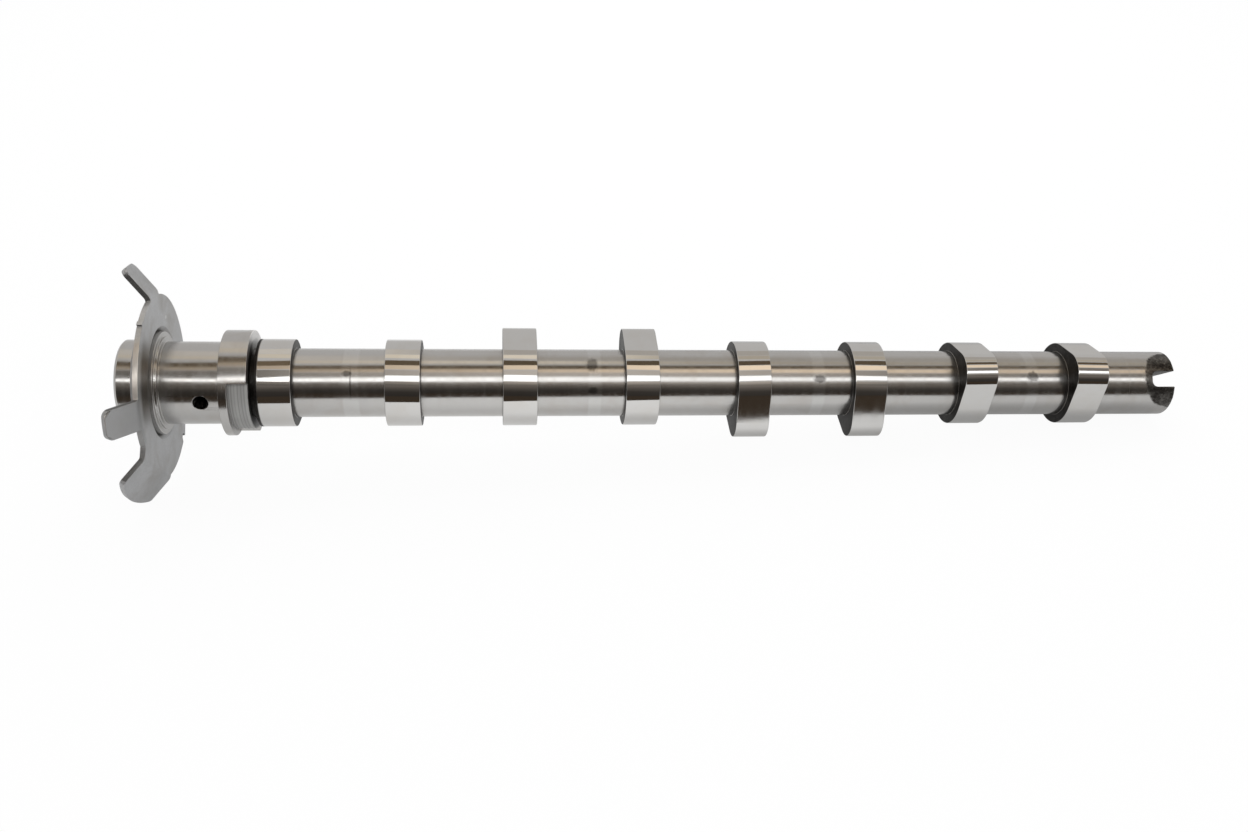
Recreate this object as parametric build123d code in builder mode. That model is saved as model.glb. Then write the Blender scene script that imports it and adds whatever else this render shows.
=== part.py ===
from build123d import *
import os
from math import asin, atan, cos, degrees, radians, sin, sqrt

# An assembled camshaft for a four-cylinder engine, in millimetres: cams, a front end piece and a rear end
# plug pressed on one ground tube, and a stamped timing plate pressed on the front end piece.
# The camshaft lies as it comes to rest, on the corners of two flaps of the timing plate and on its last cam.
# Places along the shaft are measured from the shoulder on which the timing gear seats, where the origin is,
# towards the rear. Angles are measured about the shaft from straight up, towards the viewer in front.

os.makedirs("parts", exist_ok=True)

# Engine layout
cylinder_spacing = 90.0
valve_spacing = 46.5
first_lobe = 47.6
firing_rank = (2, 3, 1, 0)
nose_angle = 40.7

# Cams
lobe_width = 13.0
base_radius = 16.5
nose_radius = 9.0
cam_lift = 5.3

# Carrier tube
tube_radius = 13.0
tube_bore_radius = 8.0
tube_insertion = 25.5

# Front end piece
spigot_radius = 16.0
spigot_length = 7.4
spigot_chamfer = 1.0
hub_radius = 19.1
hub_length = 6.8
hub_step_radius = 17.3
hub_step_length = 1.0
journal_radius = 15.4
journal_length = 21.4
collar_radius = 19.8
collar_width = 10.0
bolt_hole_radius = 5.1
bolt_hole_depth = 15.0
bolt_hole_countersink = 1.2

# Un-ground recess in the thrust collar
recess_depth = 2.6
recess_width = 7.0
recess_start_angle = 57.7
recess_end_angle = 167.7

# Oil hole through the journal and the tube
oil_hole_radius = 2.75
oil_hole_from_collar = 7.2
oil_hole_angle = 84.7

# Timing plate
sheet = 2.0
plate_setback = 0.8
rim_radius = 33.0
web_radius = 36.0
draw_bevel = 2.0
bend_radius = 2.0
tab_bend = 37.0
tab_reach = 44.5
tab_root = 24.0
tab_width = 11.0
tab_bend_start = 32.6
tab_corner = 2.6
tab_angles = (-15.3, 75.7)
flap_width = 34.6
flap_bend_start = 31.6
flap_corner = 2.0
flap_half_spread = 49.3
flap_tip_radius = 46.0
relief_width = 2.8
relief_depth = 2.4
nub_width = 1.8
nub_height = 0.8
nub_angle = 17.5

# Rear end plug with the drive slot
drive_length = 20.0
drive_overhang = 33.5
drive_chamfer = 0.4
plug_length = 14.0
slot_width = 6.4
slot_depth = 9.9
slot_corner = 2.4
slot_angle = 48.2

# Places along the shaft that follow from the sizes
front_end = -spigot_length
journal_start = hub_length + hub_step_length
collar_start = journal_start + journal_length
collar_end = collar_start + collar_width
tube_start = collar_end - tube_insertion
lobe_centres = [first_lobe + cylinder * cylinder_spacing + valve * valve_spacing
                for cylinder in range(len(firing_rank)) for valve in range(2)]
lobe_noses = [nose_angle + 90 * rank for rank in firing_rank for valve in range(2)]
last_lobe_end = lobe_centres[-1] + lobe_width / 2
rear_end = last_lobe_end + drive_overhang
tube_end = rear_end - drive_length
oil_hole_place = collar_start - oil_hole_from_collar
plate_back = hub_length - plate_setback
plate_front = plate_back - sheet
flap_angles = (180 - flap_half_spread, 180 + flap_half_spread)
nose_distance = base_radius + cam_lift - nose_radius

# The rounded flap corners touch the ground: how far they lie below the shaft's axis and where along it
back_bend_radius = bend_radius + sheet
corner_across = flap_width / 2 - flap_corner
corner_drop = flap_tip_radius - sqrt((flap_tip_radius - flap_corner) ** 2 - corner_across ** 2)
corner_reach = flap_corner * sqrt(1 - (cos(radians(flap_half_spread)) * sin(radians(tab_bend))) ** 2)
plate_support = ((tab_reach - corner_drop * cos(radians(tab_bend))) * cos(radians(flap_half_spread))
                 + corner_across * sin(radians(flap_half_spread)) + corner_reach)
flap_blade = (tab_reach - flap_bend_start
              - back_bend_radius * sin(radians(tab_bend))) / cos(radians(tab_bend))
plate_support_place = (plate_back - back_bend_radius * (1 - cos(radians(tab_bend)))
                       - (flap_blade - corner_drop) * sin(radians(tab_bend)))
rest_tilt = degrees(atan((plate_support - base_radius) / (last_lobe_end - plate_support_place)))

# The shaft's directions at rest: along it to the rear, up across it, and to the viewer
along = Vector(cos(radians(rest_tilt)), 0, -sin(radians(rest_tilt)))
upward = Vector(sin(radians(rest_tilt)), 0, cos(radians(rest_tilt)))
frontward = Vector(0, -1, 0)
shaft_axis = Axis((0, 0, 0), along)
shaft_plane = Plane(origin=(0, 0, 0), x_dir=upward, z_dir=along)


# The direction out from the shaft's axis at an angle
def outward(angle):
    return upward * cos(radians(angle)) + frontward * sin(radians(angle))


# The plane across the shaft at a place along it
def station(place):
    return shaft_plane.offset(place)


# The plane through the shaft's axis that holds the direction at an angle: x along the shaft, y outward
def section(angle):
    return Plane(origin=(0, 0, 0), x_dir=along, z_dir=along.cross(outward(angle)))


# The plane that faces outward at an angle, at a place along the shaft: x along the shaft
def facing(angle, place):
    return Plane(origin=along * place, x_dir=along, z_dir=outward(angle))


# Carrier tube, hollow for oil, with a cross hole below the front journal
with BuildPart() as carrier_tube:
    with BuildSketch(station(tube_start)):
        Circle(tube_radius)
        Circle(tube_bore_radius, mode=Mode.SUBTRACT)
    extrude(amount=tube_end - tube_start)
    with BuildSketch(facing(oil_hole_angle, oil_hole_place)):
        Circle(oil_hole_radius)
    extrude(amount=journal_radius, mode=Mode.SUBTRACT)
carrier_tube.part.label = "carrier_tube"
export_step(carrier_tube.part, "parts/carrier_tube.step")


# One cam: base circle and nose circle joined by straight flanks, as for a roller follower
def make_lobe(centre, nose):
    with BuildPart() as lobe:
        with BuildSketch(station(centre - lobe_width / 2)):
            Circle(base_radius)
            with PolarLocations(nose_distance, 1, start_angle=nose):
                Circle(nose_radius)
            make_hull()
            Circle(tube_radius, mode=Mode.SUBTRACT)
        extrude(amount=lobe_width)
    return lobe.part


for number, (centre, nose) in enumerate(zip(lobe_centres, lobe_noses), start=1):
    cam_lobe = make_lobe(centre, nose)
    cam_lobe.label = f"cam_lobe_{number}"
    export_step(cam_lobe, f"parts/cam_lobe_{number}.step")

# Front end piece: spigot for the timing gear, hub for the plate, bearing journal and thrust collar,
# turned with the blind bolt hole at the front and the socket for the tube at the rear
hole_floor = front_end + bolt_hole_depth
with BuildPart() as front_journal:
    with BuildSketch(section(0)):
        with BuildLine():
            Polyline(
                (front_end, bolt_hole_radius + bolt_hole_countersink),
                (front_end, spigot_radius - spigot_chamfer),
                (front_end + spigot_chamfer, spigot_radius),
                (0, spigot_radius),
                (0, hub_radius),
                (hub_length, hub_radius),
                (hub_length, hub_step_radius),
                (journal_start, hub_step_radius),
                (journal_start, journal_radius),
                (collar_start, journal_radius),
                (collar_start, collar_radius),
                (collar_end, collar_radius),
                (collar_end, tube_radius),
                (tube_start, tube_radius),
                (tube_start, 0),
                (hole_floor, 0),
                (hole_floor, bolt_hole_radius),
                (front_end + bolt_hole_countersink, bolt_hole_radius),
                close=True,
            )
        make_face()
    revolve(axis=shaft_axis)
    with BuildSketch(station(collar_end - recess_width)):
        with BuildLine():
            recess_floor = CenterArc((0, 0), collar_radius - recess_depth, recess_start_angle,
                                     recess_end_angle - recess_start_angle)
            recess_mouth = CenterArc((0, 0), collar_radius + recess_depth, recess_start_angle,
                                     recess_end_angle - recess_start_angle)
            Line(recess_floor @ 0, recess_mouth @ 0)
            Line(recess_floor @ 1, recess_mouth @ 1)
        make_face()
    extrude(amount=2 * recess_width, mode=Mode.SUBTRACT)
    with BuildSketch(facing(oil_hole_angle, oil_hole_place)):
        Circle(oil_hole_radius)
    extrude(amount=collar_radius, mode=Mode.SUBTRACT)
front_journal.part.label = "front_journal"
export_step(front_journal.part, "parts/front_journal.step")


# One tab of the timing plate: a strip of the sheet that leaves the disc, bends forward round its bend
# radius and ends in a blade with an arched tip and rounded corners
def make_tab(angle, width, bend_start, corner, tip_radius):
    blade = (tab_reach - bend_start - back_bend_radius * sin(radians(tab_bend))) / cos(radians(tab_bend))
    cut = section(angle)
    with BuildPart() as tab:
        with BuildSketch(cut):
            with BuildLine():
                back = Line((plate_back, tab_root), (plate_back, bend_start))
                back_bend = JernArc(back @ 1, back % 1, back_bend_radius, tab_bend)
                front = Line((plate_front, tab_root), (plate_front, bend_start))
                front_bend = JernArc(front @ 1, front % 1, bend_radius, tab_bend)
                Line(back_bend @ 1, front_bend @ 1)
                Line(back @ 0, front @ 0)
            make_face()
        extrude(amount=width / 2, both=True)
        blade_back = along * cos(radians(tab_bend)) + outward(angle) * sin(radians(tab_bend))
        blade_plane = Plane(origin=cut.from_local_coords(back_bend @ 1), x_dir=cut.z_dir, z_dir=-blade_back)
        with BuildSketch(blade_plane) as outline:
            with Locations((0, blade - tip_radius)):
                Circle(tip_radius)
            Rectangle(width, blade, align=(Align.CENTER, Align.MIN), mode=Mode.INTERSECT)
            fillet(outline.vertices().group_by(Axis.Y)[-1], corner)
        extrude(amount=sheet)
    return tab.part


# Timing plate: blanked disc with a drawn collar round its bore, four bent tabs, a wider web between the
# two flaps with a relief notch beside one of them, and a small nub left by the blanking
with BuildPart() as trigger_plate:
    with BuildSketch(section(0)):
        with BuildLine():
            Polyline(
                (0, hub_radius),
                (plate_back - draw_bevel, hub_radius),
                (plate_back, hub_radius + draw_bevel),
                (plate_back, rim_radius),
                (plate_front, rim_radius),
                (plate_front, hub_radius + sheet),
                (0, hub_radius + sheet),
                close=True,
            )
        make_face()
    revolve(axis=shaft_axis)
    with BuildSketch(station(plate_front)):
        with BuildLine():
            web_edge = CenterArc((0, 0), web_radius, 180 - flap_half_spread, 2 * flap_half_spread)
            Line(web_edge @ 0, (0, 0))
            Line(web_edge @ 1, (0, 0))
        make_face()
        Circle(tab_root, mode=Mode.SUBTRACT)
    extrude(amount=sheet)
    with BuildSketch(station(plate_front)):
        for angles, width, bend_start in ((tab_angles, tab_width, tab_bend_start),
                                          (flap_angles, flap_width, flap_bend_start)):
            for angle in angles:
                with PolarLocations(bend_start, 1, start_angle=angle):
                    Rectangle(web_radius, width, align=(Align.MIN, Align.CENTER))
    extrude(amount=sheet, mode=Mode.SUBTRACT)
    for tab_angle in tab_angles:
        add(make_tab(tab_angle, tab_width, tab_bend_start, tab_corner, tab_reach))
    for flap_angle in flap_angles:
        add(make_tab(flap_angle, flap_width, flap_bend_start, flap_corner, flap_tip_radius))
    relief_angle = 180 + flap_half_spread - degrees(asin((flap_width + relief_width) / 2 / web_radius))
    with BuildSketch(station(plate_front)):
        with PolarLocations(web_radius, 1, start_angle=relief_angle):
            SlotOverall(2 * relief_depth, relief_width)
    extrude(amount=sheet, mode=Mode.SUBTRACT)
    with BuildSketch(station(plate_front)):
        with PolarLocations(rim_radius, 1, start_angle=nub_angle):
            Rectangle(2 * nub_height, nub_width)
    extrude(amount=sheet)
trigger_plate.part.label = "trigger_plate"
export_step(trigger_plate.part, "parts/trigger_plate.step")

# Rear end plug: a turned head flush with the tube, a stem pressed in the tube's bore, and a milled slot
# right across the end for the driven pump
with BuildPart() as drive_end:
    with BuildSketch(section(0)):
        with BuildLine():
            Polyline(
                (tube_end - plug_length, 0),
                (tube_end - plug_length, tube_bore_radius),
                (tube_end, tube_bore_radius),
                (tube_end, tube_radius),
                (rear_end - drive_chamfer, tube_radius),
                (rear_end, tube_radius - drive_chamfer),
                (rear_end, 0),
                close=True,
            )
        make_face()
    revolve(axis=shaft_axis)
    with BuildSketch(facing(slot_angle, rear_end - slot_depth)) as slot:
        Rectangle(2 * slot_depth, slot_width, align=(Align.MIN, Align.CENTER))
        fillet(slot.vertices().group_by(Axis.X)[0], slot_corner)
    extrude(amount=2 * tube_radius, both=True, mode=Mode.SUBTRACT)
drive_end.part.label = "drive_end"
export_step(drive_end.part, "parts/drive_end.step")

print(f"tilt at rest {rest_tilt:.3f} degrees, length {rear_end - front_end:.1f} mm")
print(f"flap corners {plate_support:.2f} mm below the axis, {plate_support_place:.2f} mm along it")
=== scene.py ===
from math import cos, degrees, radians, sin

import bpy
from mathutils import Matrix, Vector

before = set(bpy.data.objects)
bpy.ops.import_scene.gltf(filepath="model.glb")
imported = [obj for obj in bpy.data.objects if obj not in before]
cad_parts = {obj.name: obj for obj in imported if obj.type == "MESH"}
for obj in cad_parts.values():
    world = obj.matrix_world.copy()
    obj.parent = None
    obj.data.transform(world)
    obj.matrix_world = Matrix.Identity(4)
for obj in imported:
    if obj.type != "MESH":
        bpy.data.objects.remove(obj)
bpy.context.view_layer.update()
print("frame loaded:", len(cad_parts), "nodes")

mm = 0.001
shaft = {
    "restTilt": 3.628,  # degrees, the rear end lies lower
    "viewAngle": 55.7,  # from the shaft's upper side towards the viewer, degrees
    "floor": -0.04,  # height of the ground, m
}
restTilt = radians(shaft["restTilt"])
along = Vector((cos(restTilt), 0, -sin(restTilt)))
upward = Vector((sin(restTilt), 0, cos(restTilt)))
front = Vector((0, -1, 0))


def link(piece):
    bpy.context.scene.collection.objects.link(piece)
    return piece


def outward(angle):
    turn = radians(angle)
    return upward * cos(turn) + front * sin(turn)


# the camera stands at the photograph's viewing angle
view = {
    "along": 127.97,  # mm
    "away": 466.5,
    "aside": -0.33,
    "turn": 0.1434,  # radians towards the front end
    "nod": 0.0272,
    "lens": 34.373,
    "sensor": 36,
    "shift": -0.0342,
    "clipStart": 0.01,  # m
}


def makeCamera():
    towards = outward(shaft["viewAngle"])
    pictureUp = outward(shaft["viewAngle"] - 90)
    right = along * cos(view["turn"]) + towards * sin(view["turn"])
    level = along * sin(view["turn"]) - towards * cos(view["turn"])
    look = level * cos(view["nod"]) - pictureUp * sin(view["nod"])
    up = pictureUp * cos(view["nod"]) + level * sin(view["nod"])
    place = along * view["along"] + towards * view["away"] + pictureUp * view["aside"]
    data = bpy.data.cameras.new("viewer")
    data.lens = view["lens"]
    data.sensor_width = view["sensor"]
    data.shift_x = view["shift"]
    data.clip_start = view["clipStart"]
    camera = bpy.data.objects.new("viewer", data)
    turned = Matrix((right, up, -look)).transposed().to_4x4()
    camera.matrix_world = Matrix.Translation(place * mm) @ turned
    link(camera)
    bpy.context.scene.camera = camera


makeCamera()
print("camera placed")


def feed(tree, node, inputs):
    # a socket takes a link or a plain value
    for socket, value in inputs.items():
        if isinstance(value, bpy.types.NodeSocket):
            tree.links.new(value, node.inputs[socket])
        else:
            node.inputs[socket].default_value = value


def addNode(tree, kind, inputs=None, **settings):
    node = tree.nodes.new(kind)
    for name, value in settings.items():
        setattr(node, name, value)
    feed(tree, node, inputs or {})
    return node


def maths(tree, operation, *values):
    inputs = dict(enumerate(values))
    return addNode(tree, "ShaderNodeMath", inputs, operation=operation).outputs[0]


def times(tree, value, *factors):
    for factor in factors:
        value = maths(tree, "MULTIPLY", value, factor)
    return value


def vectors(tree, operation, *values, output="Vector"):
    inputs = dict(enumerate(values))
    return addNode(tree, "ShaderNodeVectorMath", inputs, operation=operation).outputs[output]


def ramp(tree, value, low, high, toLow=0.0, toHigh=1.0):
    span = {"Value": value, "From Min": low, "From Max": high, "To Min": toLow, "To Max": toHigh}
    node = addNode(tree, "ShaderNodeMapRange", span, interpolation_type="SMOOTHSTEP")
    return node.outputs["Result"]


def between(tree, value, low, high, soft):
    rise = ramp(tree, value, low - soft, low + soft)
    fall = ramp(tree, value, high + soft, high - soft)
    return times(tree, rise, fall)


def blendColour(tree, share, first, second):
    inputs = {0: share, 6: first, 7: second}  # a Mix node's colours are its sockets 6 and 7
    return addNode(tree, "ShaderNodeMix", inputs, data_type="RGBA").outputs[2]


def paintOver(tree, share, colour, paint):
    return blendColour(tree, share, colour, (*paint, 1))


def mixValue(tree, share, first, second):
    inputs = {0: share, 2: first, 3: second}
    return addNode(tree, "ShaderNodeMix", inputs, data_type="FLOAT").outputs[0]


def objectPlace(tree):
    return addNode(tree, "ShaderNodeTexCoord").outputs["Object"]


def shaftAxes(tree, place):
    # mm along the shaft, towards its back and up from it
    level = {"Vector": place, "Rotation": (0, -restTilt, 0), "Scale": (1000, 1000, 1000)}
    level = addNode(tree, "ShaderNodeMapping", level).outputs["Vector"]
    return addNode(tree, "ShaderNodeSeparateXYZ", {"Vector": level}).outputs


def noise(tree, place, scale, detail, roughness=0.5, distortion=0.0):
    inputs = {
        "Vector": place,
        "Scale": scale,
        "Detail": detail,
        "Roughness": roughness,
        "Distortion": distortion,
    }
    return addNode(tree, "ShaderNodeTexNoise", inputs).outputs["Fac"]


def startGroup(name, inputs, outputs):
    tree = bpy.data.node_groups.new(name, "ShaderNodeTree")
    for label, value in inputs.items():
        socket = tree.interface.new_socket(label, in_out="INPUT", socket_type="NodeSocketFloat")
        socket.default_value = value
    for label in outputs:
        tree.interface.new_socket(label, in_out="OUTPUT", socket_type="NodeSocketFloat")
    start = tree.nodes.new("NodeGroupInput")
    end = tree.nodes.new("NodeGroupOutput")
    return tree, start.outputs, end


faceLean = (0.78, 0.92)  # from here to here a face counts as looking in a direction


def makeShaftPlace():
    # where a point lies on the shaft: mm along it and out from its axis, degrees round it from
    # the top, and whether its face looks along the shaft, out from it or round it
    labels = ("Along", "Out", "Turn", "Side", "Rim", "Edge")
    tree, _, end = startGroup("shaftPlace", {}, labels)
    place = objectPlace(tree)
    split = shaftAxes(tree, place)
    flat = times(tree, split["Y"], split["Y"])
    high = times(tree, split["Z"], split["Z"])
    far = maths(tree, "SQRT", maths(tree, "ADD", flat, high))
    turn = maths(tree, "ARCTAN2", times(tree, split["Y"], -1.0), split["Z"])
    turn = times(tree, turn, degrees(1))
    feed(tree, end, {"Along": split["X"], "Out": far, "Turn": turn})
    normal = addNode(tree, "ShaderNodeNewGeometry").outputs["Normal"]
    reach = vectors(tree, "DOT_PRODUCT", place, along, output="Value")
    onShaft = {0: along, "Scale": reach}
    onShaft = addNode(tree, "ShaderNodeVectorMath", onShaft, operation="SCALE").outputs["Vector"]
    outwards = vectors(tree, "NORMALIZE", vectors(tree, "SUBTRACT", place, onShaft))
    across = vectors(tree, "CROSS_PRODUCT", outwards, along)
    for label, direction in (("Side", along), ("Rim", outwards), ("Edge", across)):
        share = vectors(tree, "DOT_PRODUCT", normal, direction, output="Value")
        share = maths(tree, "ABSOLUTE", share)
        feed(tree, end, {label: ramp(tree, share, *faceLean)})
    return tree


driftStretch = (0.06, 1, 1)  # the drift is the same noise, drawn out along the shaft


def makeGrinding():
    # fine lines left by the wheel: close along the shaft, long round it
    given = {"Fineness": 8.0, "Length": 0.05}
    tree, given, end = startGroup("grindingLines", given, ("Lines", "Drift"))
    split = shaftAxes(tree, objectPlace(tree))
    close = {
        "X": times(tree, split["X"], given["Fineness"]),
        "Y": times(tree, split["Y"], given["Length"]),
        "Z": times(tree, split["Z"], given["Length"]),
    }
    close = addNode(tree, "ShaderNodeCombineXYZ", close).outputs[0]
    wide = vectors(tree, "MULTIPLY", close, driftStretch)
    lines = noise(tree, close, 1.0, 3.0, roughness=0.7)
    feed(tree, end, {"Lines": lines, "Drift": noise(tree, wide, 1.0, 2.0)})
    return tree


filmSpan = (0.42, 0.72)  # of the noise, from clean to filmed


def makeFilm():
    # thin oil film and handling marks, in soft patches
    tree, given, end = startGroup("oilFilm", {"Patch": 90.0, "Amount": 0.5}, ["Mask"])
    patch = noise(tree, objectPlace(tree), given["Patch"], 4.0, roughness=0.62, distortion=0.6)
    feed(tree, end, {"Mask": times(tree, ramp(tree, patch, *filmSpan), given["Amount"])})
    return tree


skinLook = {
    "tone": (0.36, 0.64),  # of the noise, from dark to light
    "bright": (0.62, 0.72),
    "pits": 0.3,  # share of the pits in the height
}


def makeSkin():
    # mottled skin of rough steel: a cloudy tone, small pits and bright grains
    given = {"Grain": 900.0, "Cloud": 160.0}
    tree, given, end = startGroup("roughSkin", given, ("Tone", "Bright", "Height"))
    place = objectPlace(tree)
    grain = noise(tree, place, given["Grain"], 5.0, roughness=0.7)
    cloud = noise(tree, place, given["Cloud"], 3.0, roughness=0.55)
    pits = {"Vector": place, "Scale": given["Grain"]}
    pits = addNode(tree, "ShaderNodeTexVoronoi", pits).outputs["Distance"]
    tone = maths(tree, "ADD", times(tree, grain, 0.5), times(tree, cloud, 0.5))
    height = times(tree, grain, 1 - skinLook["pits"])
    height = maths(tree, "ADD", height, times(tree, pits, skinLook["pits"]))
    tone = ramp(tree, tone, *skinLook["tone"])
    bright = ramp(tree, grain, *skinLook["bright"])
    feed(tree, end, {"Tone": tone, "Bright": bright, "Height": height})
    return tree


spotFade = (1.25, 0.65)  # of a spot's half size, from clear to full
spotGrain = 900.0


def makeSpot():
    # a small oval patch on the shaft's surface with a broken edge
    given = {
        "Along": 0.0,
        "Turn": 0.0,
        "At": 0.0,
        "Angle": 0.0,
        "Half Length": 2.0,
        "Half Angle": 6.0,
        "Ragged": 0.3,
    }
    tree, given, end = startGroup("surfaceSpot", given, ["Mask"])
    edge = noise(tree, objectPlace(tree), spotGrain, 3.0)
    ragged = times(tree, maths(tree, "SUBTRACT", edge, 0.5), given["Ragged"])
    aside = maths(tree, "ABSOLUTE", maths(tree, "SUBTRACT", given["Along"], given["At"]))
    turned = maths(tree, "ABSOLUTE", maths(tree, "SUBTRACT", given["Turn"], given["Angle"]))
    aside = maths(tree, "DIVIDE", aside, given["Half Length"])
    turned = maths(tree, "DIVIDE", turned, given["Half Angle"])
    flat = addNode(tree, "ShaderNodeCombineXYZ", {"X": aside, "Y": turned}).outputs[0]
    far = vectors(tree, "LENGTH", flat, output="Value")
    feed(tree, end, {"Mask": ramp(tree, maths(tree, "ADD", far, ragged), *spotFade)})
    return tree


def makeRings():
    # the lines of a turning tool, along any one distance
    tree, given, end = startGroup("turnedRings", {"Out": 0.0, "Fineness": 5.0}, ["Lines"])
    inputs = {"W": times(tree, given["Out"], given["Fineness"]), "Scale": 1.0, "Detail": 2.0}
    rings = addNode(tree, "ShaderNodeTexNoise", inputs, noise_dimensions="1D")
    feed(tree, end, {"Lines": rings.outputs["Fac"]})
    return tree


groups = {
    "place": makeShaftPlace(),
    "grinding": makeGrinding(),
    "film": makeFilm(),
    "skin": makeSkin(),
    "spot": makeSpot(),
    "rings": makeRings(),
}
print("shared effects built:", len(groups))


def useGroup(tree, name, inputs=None):
    return addNode(tree, "ShaderNodeGroup", inputs, node_tree=groups[name]).outputs


def blankMaterial(name):
    material = bpy.data.materials.new(name)
    material.use_nodes = True
    material.node_tree.nodes.clear()
    return material, material.node_tree


def startMaterial(name, colour, metallic=1.0, anisotropic=0.0):
    material, tree = blankMaterial(name)
    inputs = {"Base Color": (*colour, 1), "Metallic": metallic, "Anisotropic": anisotropic}
    shader = addNode(tree, "ShaderNodeBsdfPrincipled", inputs)
    addNode(tree, "ShaderNodeOutputMaterial", {"Surface": shader.outputs["BSDF"]})
    return material, tree, shader


def finishSurface(tree, shader, colour, rough, height, bump):
    inputs = {"Height": height, "Distance": bump["distance"], "Strength": bump["strength"]}
    normal = addNode(tree, "ShaderNodeBump", inputs).outputs["Normal"]
    feed(tree, shader, {"Base Color": colour, "Roughness": rough, "Normal": normal})


groundSteel = {
    "colour": (0.62, 0.61, 0.595),
    "tint": (0.54, 0.50, 0.455),
    "film": 0.35,
    "roughness": (0.18, 0.24),
    "anisotropic": 0.5,
    "fineness": 9.0,
}
camSteel = {
    "colour": (0.74, 0.73, 0.715),
    "tint": (0.69, 0.655, 0.61),
    "film": 0.35,
    "roughness": (0.065, 0.095),
    "anisotropic": 0.5,
    "fineness": 6.0,
}
driftSpan = (0.3, 0.7)  # of the lines' drift, from smooth to rough
steelBump = {"distance": 0.0001, "strength": 0.5, "lines": 0.12}

# rough skins have a colour, the colour of their worn grains and how strongly those show
turnedEnd = {
    "colour": (0.44, 0.43, 0.42),
    "worn": (0.62, 0.61, 0.595),
    "specks": 0.5,
    "roughness": 0.34,
}
sinteredSide = {
    "colour": (0.018, 0.0165, 0.0155),
    "worn": (0.12, 0.114, 0.107),
    "specks": 0.6,
    "roughness": 0.5,
}
blackened = {
    "colour": (0.030, 0.026, 0.023),
    "worn": (0.50, 0.485, 0.46),
    "specks": 1.0,
    "roughness": 0.42,
}
# painted shade for the groove between the thrust collar and the first cam
neckPaintedShade = {
    "colour": (0.026, 0.0235, 0.0205),
    "worn": (0.17, 0.166, 0.16),
    "specks": 0.8,
    "roughness": 0.45,
}
# painted light for the upper part of the thrust collar's rear face
collarBackPaintedLight = {
    "colour": (0.74, 0.735, 0.72),
    "worn": (0.80, 0.795, 0.785),
    "specks": 0.3,
    "roughness": 0.5,
    "metallic": 0.2,
}
unground = {
    "colour": (0.24, 0.238, 0.231),
    "worn": (0.64, 0.635, 0.62),
    "specks": 0.2,
    "roughness": 0.5,
    "metallic": 0.25,
    "stripes": 1.1,  # for each mm along the shaft
}
grainShare = 0.35  # of the worn colour in a rough skin's lighter grain
stripeSpan = (0.35, 0.65, 0.2, 1.0)


def mixSteel(tree, settings):
    lines = useGroup(tree, "grinding", {"Fineness": settings["fineness"]})
    film = useGroup(tree, "film", {"Amount": settings["film"]})["Mask"]
    colour = paintOver(tree, film, (*settings["colour"], 1), settings["tint"])
    rough = ramp(tree, lines["Drift"], *driftSpan, *settings["roughness"])
    return colour, rough, lines


def patchOver(tree, mask, skin, grain, colour, rough, settings):
    # a patch over the ground steel: rough steel where the wheel didn't reach, and also the
    # painted shade of the neck and of the first cam's front edge and the painted light on the
    # collar's rear face
    plain = (*settings["colour"], 1)
    dark = paintOver(tree, times(tree, grain, grainShare), plain, settings["worn"])
    bright = times(tree, skin["Bright"], settings["specks"])
    dark = paintOver(tree, bright, dark, settings["worn"])
    colour = blendColour(tree, mask, colour, dark)
    return colour, mixValue(tree, mask, rough, settings["roughness"])


def lineTangent(tree):
    # highlights are drawn out across the lines, which run round the shaft, on its flat ends too
    around = vectors(tree, "CROSS_PRODUCT", objectPlace(tree), along)
    normal = addNode(tree, "ShaderNodeNewGeometry").outputs["Normal"]
    return vectors(tree, "CROSS_PRODUCT", around, normal)


# the bolt's thread in the front end, a wave that climbs one pitch each turn
boltThread = {
    "out": (5.45, 5.25),  # mm, from clear to full
    "from": -6.3,
    "to": 7.7,
    "soft": 0.3,
    "pitch": 1.75,
    "height": 14.0,
}


def threadHeight(tree, place):
    climb = maths(tree, "DIVIDE", place["Along"], boltThread["pitch"])
    turns = maths(tree, "ADD", climb, maths(tree, "DIVIDE", place["Turn"], 360.0))
    wave = maths(tree, "SUBTRACT", maths(tree, "FRACT", turns), 0.5)
    wave = times(tree, maths(tree, "ABSOLUTE", wave), boltThread["height"])
    inside = ramp(tree, place["Out"], *boltThread["out"])
    ends = (boltThread["from"], boltThread["to"], boltThread["soft"])
    here = between(tree, place["Along"], *ends)
    return times(tree, wave, times(tree, inside, here))


# what the bearings and handling left on the tube
tubeMarks = {
    "bands": [(75.0, 2.9), (166.0, 2.4), (254.0, 2.4), (342.4, 2.4)],  # mm along, half width
    "bandSoft": 0.5,
    "bandShare": 0.6,
    "bandColour": (0.70, 0.695, 0.685),
    "bandRoughness": 0.24,
    # mm along, degrees round from the top, half length, half angle, how dark
    "stains": [
        (73.7, 40.7, 1.6, 5.4, 0.6),
        (75.0, 56.0, 0.25, 29.0, 0.55),
        (165.0, 23.5, 2.2, 13.5, 0.6),
        (165.2, 69.5, 1.8, 6.5, 0.6),
        (254.2, 49.5, 2.5, 7.0, 0.7),
        (342.4, 44.5, 2.4, 9.5, 0.65),
    ],
    "stainColour": (0.05, 0.042, 0.036),
    "ragged": 0.9,
}


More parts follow.
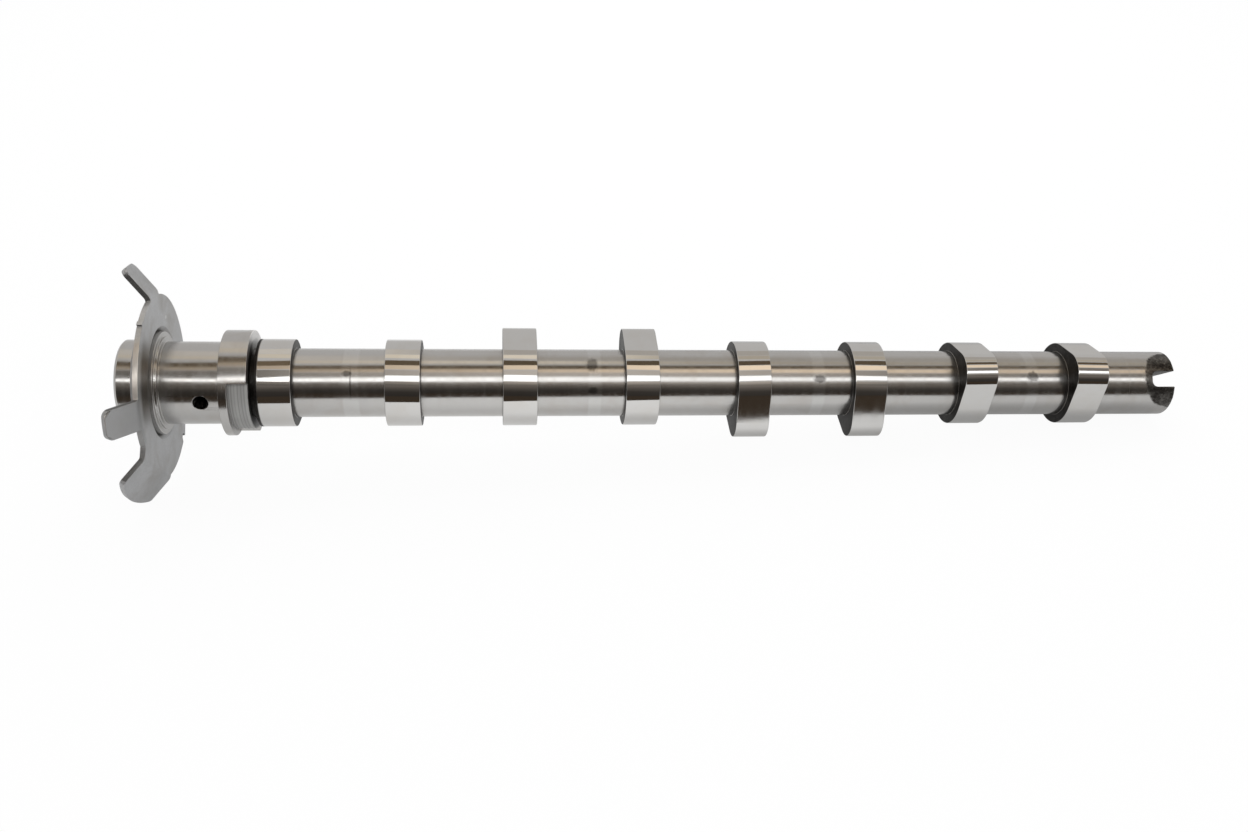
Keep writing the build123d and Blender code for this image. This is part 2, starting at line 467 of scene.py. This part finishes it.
def addMarks(tree, place, colour, rough):
    for at, half in tubeMarks["bands"]:
        ring = between(tree, place["Along"], at - half, at + half, tubeMarks["bandSoft"])
        share = times(tree, ring, tubeMarks["bandShare"])
        colour = paintOver(tree, share, colour, tubeMarks["bandColour"])
        rough = mixValue(tree, ring, rough, tubeMarks["bandRoughness"])
    for at, angle, halfLength, halfAngle, dark in tubeMarks["stains"]:
        spot = {
            "Along": place["Along"],
            "Turn": place["Turn"],
            "At": at,
            "Angle": angle,
            "Half Length": halfLength,
            "Half Angle": halfAngle,
            "Ragged": tubeMarks["ragged"],
        }
        share = times(tree, useGroup(tree, "spot", spot)["Mask"], dark)
        colour = paintOver(tree, share, colour, tubeMarks["stainColour"])
    return colour, rough


def steelMaterial(
    name, settings, side, marked=False, turned=False, threaded=False, patches=()
):
    anisotropic = settings["anisotropic"]
    material, tree, shader = startMaterial(name, settings["colour"], anisotropic=anisotropic)
    place = useGroup(tree, "place")
    skin = useGroup(tree, "skin")
    colour, rough, lines = mixSteel(tree, settings)
    if marked:
        colour, rough = addMarks(tree, place, colour, rough)
    grain = useGroup(tree, "rings", {"Out": place["Out"]})["Lines"] if turned else skin["Tone"]
    colour, rough = patchOver(tree, place["Side"], skin, grain, colour, rough, side)
    coarse = place["Side"]
    metal = 1.0
    for makeMask, patch in patches:
        mask = makeMask(tree, place, skin)
        tone = skin["Tone"]
        if "stripes" in patch:
            stripes = {"Out": place["Along"], "Fineness": patch["stripes"]}
            tone = ramp(tree, useGroup(tree, "rings", stripes)["Lines"], *stripeSpan)
        colour, rough = patchOver(tree, mask, skin, tone, colour, rough, patch)
        coarse = maths(tree, "MAXIMUM", coarse, mask)
        if "metallic" in patch:
            metal = mixValue(tree, mask, metal, patch["metallic"])
            feed(tree, shader, {"Metallic": metal})
    feed(tree, shader, {"Tangent": lineTangent(tree)})
    fine = times(tree, lines["Lines"], maths(tree, "SUBTRACT", 1.0, coarse))
    height = times(tree, skin["Height"], coarse)
    height = maths(tree, "ADD", times(tree, fine, steelBump["lines"]), height)
    if turned:
        height = maths(tree, "ADD", height, times(tree, grain, place["Side"]))
    if threaded:
        height = maths(tree, "ADD", height, threadHeight(tree, place))
    finishSurface(tree, shader, colour, rough, height, steelBump)
    return material


firstCamEdge = (42.55, 42.05)  # mm along, from clear to full


def frontEdgeShadeMask(tree, place, skin):
    # the first cam's front edge is painted as dark as the cams' sides, painted shade of the gap
    # beside the collar
    return ramp(tree, place["Along"], *firstCamEdge)


collarRecess = {
    "from": 32.2,  # mm along
    "to": 39.3,
    "soft": 0.12,
    "startAngle": 57.0,  # degrees round from the top
    "endAngle": 168.5,
    "softAngle": 0.8,
    "out": (18.0, 17.5),  # mm, from clear to full
}


def recessMask(tree, place, skin):
    # the recess in the thrust collar wasn't ground
    length = (collarRecess["from"], collarRecess["to"], collarRecess["soft"])
    here = between(tree, place["Along"], *length)
    angles = (collarRecess["startAngle"], collarRecess["endAngle"], collarRecess["softAngle"])
    turned = between(tree, place["Turn"], *angles)
    low = ramp(tree, place["Out"], *collarRecess["out"])
    return times(tree, here, turned, low)


# where the painted shade of the groove behind the thrust collar lies; the lit upper side gets
# less of it
neck = {
    "from": 39.0,  # mm along
    "to": 41.3,
    "soft": 0.1,
    "out": (17.5, 16.5),  # mm, from clear to full
    "raggedOut": 0.6,
    "litTurn": (-18.0, 8.0),  # degrees round, from the lit upper side to the shaded one
    "litShare": 0.25,
}


def neckShadeMask(tree, place, skin):
    # painted shade in the groove between the thrust collar and the first cam, lighter on the
    # upper side, where light falls
    here = between(tree, place["Along"], neck["from"], neck["to"], neck["soft"])
    edge = maths(tree, "ADD", place["Out"], times(tree, skin["Tone"], neck["raggedOut"]))
    intoShade = ramp(tree, place["Turn"], *neck["litTurn"], neck["litShare"], 1.0)
    return times(tree, here, times(tree, ramp(tree, edge, *neck["out"]), intoShade))


def collarBackLightMask(tree, place, skin):
    # painted light: the upper part of the collar's rear face is painted lighter and less
    # metallic, where light falls on it
    start = (neck["from"] - neck["soft"], neck["from"] + neck["soft"])
    behind = ramp(tree, place["Along"], *start)
    intoShade, outOfShade = reversed(neck["litTurn"])
    return times(tree, behind, ramp(tree, place["Turn"], intoShade, outOfShade))


def distanceFrom(tree, mark):
    far = vectors(tree, "DISTANCE", objectPlace(tree), mark * mm, output="Value")
    return times(tree, far, 1000.0)


slotHalo = {
    "along": 403.6,  # mm
    "angle": 46.7,  # degrees round from the top
    "radius": 13.0,
    "reach": (13.5, 12.5),  # mm from a mouth of the slot, from clear to full
    "ragged": 0.7,
}


def haloMask(tree, place, skin):
    # blackened steel round both mouths of the slot
    mouths = []
    for angle in (slotHalo["angle"], slotHalo["angle"] + 180):
        mouth = along * slotHalo["along"] + outward(angle) * slotHalo["radius"]
        mouths.append(distanceFrom(tree, mouth))
    edge = maths(tree, "MINIMUM", *mouths)
    edge = maths(tree, "ADD", edge, times(tree, skin["Tone"], slotHalo["ragged"]))
    return ramp(tree, edge, *slotHalo["reach"])


plate = {
    "colour": (0.56, 0.565, 0.575),
    "dull": (0.42, 0.422, 0.425),
    "film": (0.34, 0.322, 0.30),
    "metallic": 0.8,
    "roughness": (0.38, 0.50),
    "grain": {"Grain": 1400.0, "Cloud": 75.0},
    "patches": {"Patch": 55.0, "Amount": 0.6},
    "bump": {"distance": 0.0001, "strength": 0.35},
    # places are mm out from the axis, degrees round from the top and mm along
    # painted shadow of the journal on the plate's rear face, beside the shaft
    "journalShadow": {
        "colour": (0.13, 0.115, 0.098),
        "turn": (30.0, 84.0, 12.0),  # from, to and softness
        "out": (20.0, 29.5, 2.0),
        "along": (4.6, 5.4, 0.0, 0.95),  # only the rear face has it
    },
    "tabShade": {
        "colour": (0.36, 0.362, 0.365),
        "turn": (60.0, 100.0, 6.0),  # round the front tab
        "out": (29.0, 33.0),
        "fade": (33.0, 43.0, 0.95, 0.55),
    },
    "shear": {"colour": (0.10, 0.098, 0.095), "share": 0.85},
    "rim": {
        "colour": (0.80, 0.75, 0.69),
        "out": (29.5, 30.5),
        "turn": (30.0, 76.0, 5.0),  # where the painted highlight lies, facing the viewer
        "elsewhere": 0.12,
        "roughness": 0.3,
    },
    "groove": {"colour": (0.07, 0.066, 0.062), "out": (18.5, 19.8, 0.35), "share": 0.85},
    "dimple": {
        "colour": (0.75, 0.75, 0.74),
        "along": 6.0,
        "out": 25.0,
        "turn": -43.0,
        "reach": (0.9, 0.5),  # mm
        "share": 0.7,
        "depth": 2.0,
    },
}


def plateMaterial():
    metallic = plate["metallic"]
    material, tree, shader = startMaterial("plateSteel", plate["colour"], metallic=metallic)
    place = useGroup(tree, "place")
    skin = useGroup(tree, "skin", plate["grain"])
    film = useGroup(tree, "film", plate["patches"])["Mask"]
    colour = paintOver(tree, skin["Tone"], (*plate["dull"], 1), plate["colour"])
    colour = paintOver(tree, film, colour, plate["film"])
    rough = ramp(tree, skin["Tone"], 0.0, 1.0, *plate["roughness"])
    # painted shadow of the journal on the plate's rear face
    journalShadow = plate["journalShadow"]
    shadowed = between(tree, place["Turn"], *journalShadow["turn"])
    shadowed = times(tree, shadowed, between(tree, place["Out"], *journalShadow["out"]))
    shadowed = times(tree, shadowed, ramp(tree, place["Along"], *journalShadow["along"]))
    colour = paintOver(tree, shadowed, colour, journalShadow["colour"])
    shade = plate["tabShade"]
    shaded = between(tree, place["Turn"], *shade["turn"])
    shaded = times(tree, shaded, ramp(tree, place["Out"], *shade["out"]))
    shaded = times(tree, shaded, ramp(tree, place["Out"], *shade["fade"]))
    colour = paintOver(tree, shaded, colour, shade["colour"])
    # sheared sides of the tabs are dark
    sheared = times(tree, place["Edge"], plate["shear"]["share"])
    colour = paintOver(tree, sheared, colour, plate["shear"]["colour"])
    # painted highlight on the rim's edge, brightest where it faces the viewer
    rim = plate["rim"]
    far = ramp(tree, place["Out"], *rim["out"])
    rimHighlight = between(tree, place["Turn"], *rim["turn"])
    rimHighlight = mixValue(tree, rimHighlight, rim["elsewhere"], 1.0)
    rimHighlight = times(tree, place["Rim"], far, rimHighlight)
    colour = paintOver(tree, rimHighlight, colour, rim["colour"])
    rough = mixValue(tree, rimHighlight, rough, rim["roughness"])
    # painted shade: a dark ring in the joint round the hub, where the gap lies in shade
    jointShade = between(tree, place["Out"], *plate["groove"]["out"])
    jointShade = times(tree, jointShade, plate["groove"]["share"])
    colour = paintOver(tree, jointShade, colour, plate["groove"]["colour"])
    # a small dent on the rear face
    dimple = plate["dimple"]
    mark = along * dimple["along"] + outward(dimple["turn"]) * dimple["out"]
    dent = ramp(tree, distanceFrom(tree, mark), *dimple["reach"])
    share = times(tree, dent, dimple["share"])
    colour = paintOver(tree, share, colour, dimple["colour"])
    height = maths(tree, "SUBTRACT", skin["Height"], times(tree, dent, dimple["depth"]))
    finishSurface(tree, shader, colour, rough, height, plate["bump"])
    return material


materials = {
    "tube": steelMaterial(
        "tubeSteel", groundSteel, turnedEnd, marked=True, patches=[(neckShadeMask, neckPaintedShade)]
    ),
    "cam": steelMaterial("camSteel", camSteel, sinteredSide),
    "firstCam": steelMaterial(
        "firstCamSteel", camSteel, sinteredSide, patches=[(frontEdgeShadeMask, sinteredSide)]
    ),
    "journal": steelMaterial(
        "journalSteel",
        groundSteel,
        turnedEnd,
        turned=True,
        threaded=True,
        patches=[(recessMask, unground), (collarBackLightMask, collarBackPaintedLight), (neckShadeMask, neckPaintedShade)],
    ),
    "drive": steelMaterial(
        "driveSteel", groundSteel, turnedEnd, turned=True, patches=[(haloMask, blackened)]
    ),
    "plate": plateMaterial(),
}


def dress(name, material):
    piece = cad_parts[name]
    piece.data.materials.clear()
    piece.data.materials.append(material)


dress("carrier_tube", materials["tube"])
dress("cam_lobe_1", materials["firstCam"])
for number in range(2, 9):
    dress(f"cam_lobe_{number}", materials["cam"])
dress("front_journal", materials["journal"])
dress("drive_end", materials["drive"])
dress("trigger_plate", materials["plate"])
print("materials given")


# sharp rims of the solids get the small rounding that grinding and tumbling leave
edges = {
    "width": {"front_journal": 0.2, "trigger_plate": 0.2, "drive_end": 0.25},  # mm
    "camWidth": 0.28,
    "weld": 0.005,
    "segments": 2,
    "sharpFrom": 40,  # degrees
}
for number in range(1, 9):
    edges["width"][f"cam_lobe_{number}"] = edges["camWidth"]


def roundEdges(name, width):
    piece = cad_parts[name]
    weld = piece.modifiers.new("weld", "WELD")
    weld.merge_threshold = edges["weld"] * mm
    bevel = piece.modifiers.new("rounding", "BEVEL")
    bevel.width = width * mm
    bevel.segments = edges["segments"]
    bevel.limit_method = "ANGLE"
    bevel.angle_limit = radians(edges["sharpFrom"])
    bevel.use_clamp_overlap = False
    smooth = piece.modifiers.new("smooth", "WEIGHTED_NORMAL")
    smooth.keep_sharp = False


for name, width in edges["width"].items():
    roundEdges(name, width)
print("edges rounded:", len(edges["width"]))


ground = {
    "size": 6,  # m to each side
    "colour": (0.82, 0.82, 0.82),
    "seen": 0.95,  # share of plain white that the viewer sees
}
# painted reflection: only reflections see the ground glow as a white sheet on a dark table, with
# the shaft's shade painted into it
# spans are metres along the ground, from and to, and the values there
sheet = {
    "colour": (0.60, 0.60, 0.597),
    "table": (0.046, 0.034, 0.024),
    "reach": (0.0, 0.2, 0.118, 0.134),
    "reachRear": (0.29, 0.36, 0.0, -0.034),  # added
    "edge": (-0.002, 0.002),
    "level": (0.0, 0.13, 1.0, 1.4),  # brightest at the middle cams
    "levelRear": (0.16, 0.36, 0.0, -0.36),  # added
    "shade": (0.0, 0.3, 0.95, 0.55),  # of the shaft itself, under its low rear end
    "shadeEnd": (0.014, 0.04),
    "share": 0.75,
}


def makeFloor():
    far = ground["size"]
    mesh = bpy.data.meshes.new("floor")
    corners = [(-far, -far), (far, -far), (far, far), (-far, far)]
    mesh.from_pydata([(x, y, shaft["floor"]) for x, y in corners], [], [(0, 1, 2, 3)])
    floor = link(bpy.data.objects.new("floor", mesh))
    material, tree = blankMaterial("paleFloor")
    path = addNode(tree, "ShaderNodeLightPath").outputs
    matt = addNode(tree, "ShaderNodeBsdfDiffuse", {"Color": (*ground["colour"], 1)})
    white = addNode(tree, "ShaderNodeEmission", {"Color": (1, 1, 1, 1), "Strength": 1.0})
    split = addNode(tree, "ShaderNodeSeparateXYZ", {"Vector": objectPlace(tree)}).outputs
    reach = ramp(tree, split["X"], *sheet["reach"])
    reach = maths(tree, "ADD", reach, ramp(tree, split["X"], *sheet["reachRear"]))
    ahead = times(tree, split["Y"], -1.0)
    beyond = ramp(tree, maths(tree, "SUBTRACT", ahead, reach), *sheet["edge"])
    level = ramp(tree, split["X"], *sheet["level"])
    level = maths(tree, "ADD", level, ramp(tree, split["X"], *sheet["levelRear"]))
    shade = ramp(tree, split["X"], *sheet["shade"])
    shade = mixValue(tree, ramp(tree, ahead, *sheet["shadeEnd"]), shade, 1.0)
    level = times(tree, level, shade)
    grey = addNode(tree, "ShaderNodeCombineXYZ", {0: level, 1: level, 2: level}).outputs[0]
    lit = vectors(tree, "MULTIPLY", sheet["colour"], grey)
    colour = paintOver(tree, beyond, lit, sheet["table"])
    shown = addNode(tree, "ShaderNodeEmission", {"Color": colour, "Strength": 1.0})
    share = times(tree, path["Is Camera Ray"], ground["seen"])
    seen = {0: share, 1: matt.outputs[0], 2: white.outputs[0]}
    seen = addNode(tree, "ShaderNodeMixShader", seen)
    share = times(tree, path["Is Glossy Ray"], maths(tree, "MAXIMUM", beyond, sheet["share"]))
    gloss = {0: share, 1: seen.outputs[0], 2: shown.outputs[0]}
    gloss = addNode(tree, "ShaderNodeMixShader", gloss)
    addNode(tree, "ShaderNodeOutputMaterial", {"Surface": gloss.outputs[0]})
    mesh.materials.append(material)


air = {
    "level": (0.62, 0.62, 0.62),
    "gloss": (0.56, 0.55, 0.54),  # what reflections see of it
}


def makeWorld():
    world = bpy.data.worlds.new("studio")
    bpy.context.scene.world = world
    world.use_nodes = True
    tree = world.node_tree
    tree.nodes.clear()
    path = addNode(tree, "ShaderNodeLightPath").outputs
    colour = paintOver(tree, path["Is Glossy Ray"], (*air["level"], 1), air["gloss"])
    colour = paintOver(tree, path["Is Camera Ray"], colour, (1, 1, 1))
    background = addNode(tree, "ShaderNodeBackground", {"Color": colour, "Strength": 1.0})
    addNode(tree, "ShaderNodeOutputWorld", {"Surface": background.outputs[0]})


# angle is degrees picture-up from the viewer's direction, round the shaft
lamps = {
    "softbox": {"angle": 95, "along": 200, "distance": 0.8, "size": (1.0, 0.8), "watts": 5.0},
    "strip": {"angle": 11, "along": 200, "distance": 0.7, "size": (2.0, 0.16), "watts": 2.0},
}


def makeSoftLight(name, lamp):
    data = bpy.data.lights.new(name, "AREA")
    data.shape = "RECTANGLE"
    data.size, data.size_y = lamp["size"]
    data.energy = lamp["watts"]
    piece = link(bpy.data.objects.new(name, data))
    away = outward(shaft["viewAngle"] - lamp["angle"])
    across = away.cross(along)
    place = along * lamp["along"] * mm + away * lamp["distance"]
    turned = Matrix((along, across * -1, away)).transposed().to_4x4()
    piece.matrix_world = Matrix.Translation(place) @ turned
    piece.visible_camera = False
    piece.visible_glossy = False


# boards and flags round the shaft, as in a studio, which only reflections see
# "seenAt" is where on the shaft the viewer sees each column, in mm, with its factor
# rows are degrees round from the viewer, one or one for each column, and their brightness
boards = {
    "duskFlag": {
        "seenAt": [(-300, 1.0), (140, 1.0), (230, 1.3), (320, 1.15), (700, 1.15)],
        "rows": [(-36, 0.03), (-24, 0.04), (-16, 0.085), (-8, 0.16), (1, 0.26)],
        "distance": 0.5,
        "colour": (1.0, 0.88, 0.78),
    },
    "warmEdge": {
        "seenAt": [(-300, 0.6), (75, 0.7), (133, 1.1), (230, 1.3), (320, 0.7), (700, 0.7)],
        "rows": [(-7, 0.13), (-2, 0.30), (3, 0.42)],
        "distance": 0.49,
        "colour": (1.0, 0.90, 0.80),
    },
    "lampTube": {
        "seenAt": [
            (-300, 2.3), (18, 2.3), (47, 2.2), (75, 1.95),
            (140, 1.65), (230, 1.45), (320, 1.75), (700, 1.7),
        ],
        "rows": [
            ((3.5, 3.5, 3.5, 4, 3.5, 5.5, 7.5, 7.5), 1),
            ((9.5, 9.5, 13, 17, 20, 18.5, 17.5, 17), 1),
        ],
        "distance": 0.7,
        "colour": (1.0, 0.995, 0.985),
    },
    "dimBoard": {
        "seenAt": [
            (-300, 0.2), (18, 0.2), (47, 0.35), (75, 0.55),
            (140, 0.8), (230, 0.65), (320, 0.3), (700, 0.3),
        ],
        "rows": [((10, 10, 14, 18, 21, 21, 18.5, 18), 0.75), (33, 0.75)],
        "distance": 0.6,
        "colour": (1.0, 0.92, 0.83),
    },
    "lowBar": {
        "seenAt": [
            (-300, 0.42), (18, 0.42), (47, 0.52), (75, 0.65),
            (137, 0.85), (230, 1.1), (320, 0.95), (700, 0.6),
        ],
        "rows": [(35, 1.0), (48, 1.0)],
        "distance": 0.6,
        "colour": (1.0, 0.82, 0.62),
    },
    "darkBar": {
        "seenAt": [
            (-300, 1.0), (18, 1.0), (47, 1.6), (75, 1.2),
            (140, 1.0), (230, 1.0), (320, 1.1), (700, 1.0),
        ],
        "rows": [
            ((43, 43, 44, 46, 47, 49, 51, 51), 0.11),
            ((57, 57, 58, 60, 61, 62, 64, 64), 0.11),
        ],
        "distance": 0.58,
        "colour": (1.0, 0.76, 0.50),
    },
    "highBar": {
        "seenAt": [(-300, 0.8), (50, 0.85), (116, 1.05), (150, 1.05), (205, 0.6), (700, 0.6)],
        "rows": [(67, 0.80), (79, 0.80)],
        "distance": 0.6,
        "colour": (1.0, 0.90, 0.75),
    },
    "ceiling": {
        "seenAt": [(-300, 1.1), (72, 1.1), (130, 0.75), (160, 0.75), (700, 0.72)],
        "rows": [(80, 0.60), (98, 0.60)],
        "distance": 0.6,
        "colour": (1.0, 0.94, 0.86),
    },
}


def makeBoard(name, board):
    points, glow, faces = [], [], []
    columns = board["seenAt"]
    rows = board["rows"]
    for angles, strength in rows:
        for index, (seen, factor) in enumerate(columns):
            angle = angles[index] if isinstance(angles, tuple) else angles
            away = outward(shaft["viewAngle"] - angle) * board["distance"]
            onward = board["distance"] * (seen - view["along"]) / view["away"]
            points.append(away + along * (seen * mm + onward))
            glow.append(strength * factor)
    wide = len(columns)
    for row in range(len(rows) - 1):
        for column in range(wide - 1):
            first = row * wide + column
            faces.append((first, first + 1, first + wide + 1, first + wide))
    mesh = bpy.data.meshes.new(name)
    mesh.from_pydata(points, [], faces)
    mesh.attributes.new("glow", "FLOAT", "POINT").data.foreach_set("value", glow)
    piece = link(bpy.data.objects.new(name, mesh))
    material, tree = blankMaterial(name)
    strength = addNode(tree, "ShaderNodeAttribute", attribute_name="glow").outputs["Fac"]
    shine = {"Color": (*board["colour"], 1), "Strength": strength}
    shine = addNode(tree, "ShaderNodeEmission", shine)
    addNode(tree, "ShaderNodeOutputMaterial", {"Surface": shine.outputs[0]})
    mesh.materials.append(material)
    piece.visible_camera = False
    piece.visible_diffuse = False
    piece.visible_shadow = False


makeFloor()
makeWorld()
for name, lamp in lamps.items():
    makeSoftLight(name, lamp)
for name, board in boards.items():
    makeBoard(name, board)
print("floor and lights placed")

bpy.context.scene.view_settings.view_transform = "Standard"
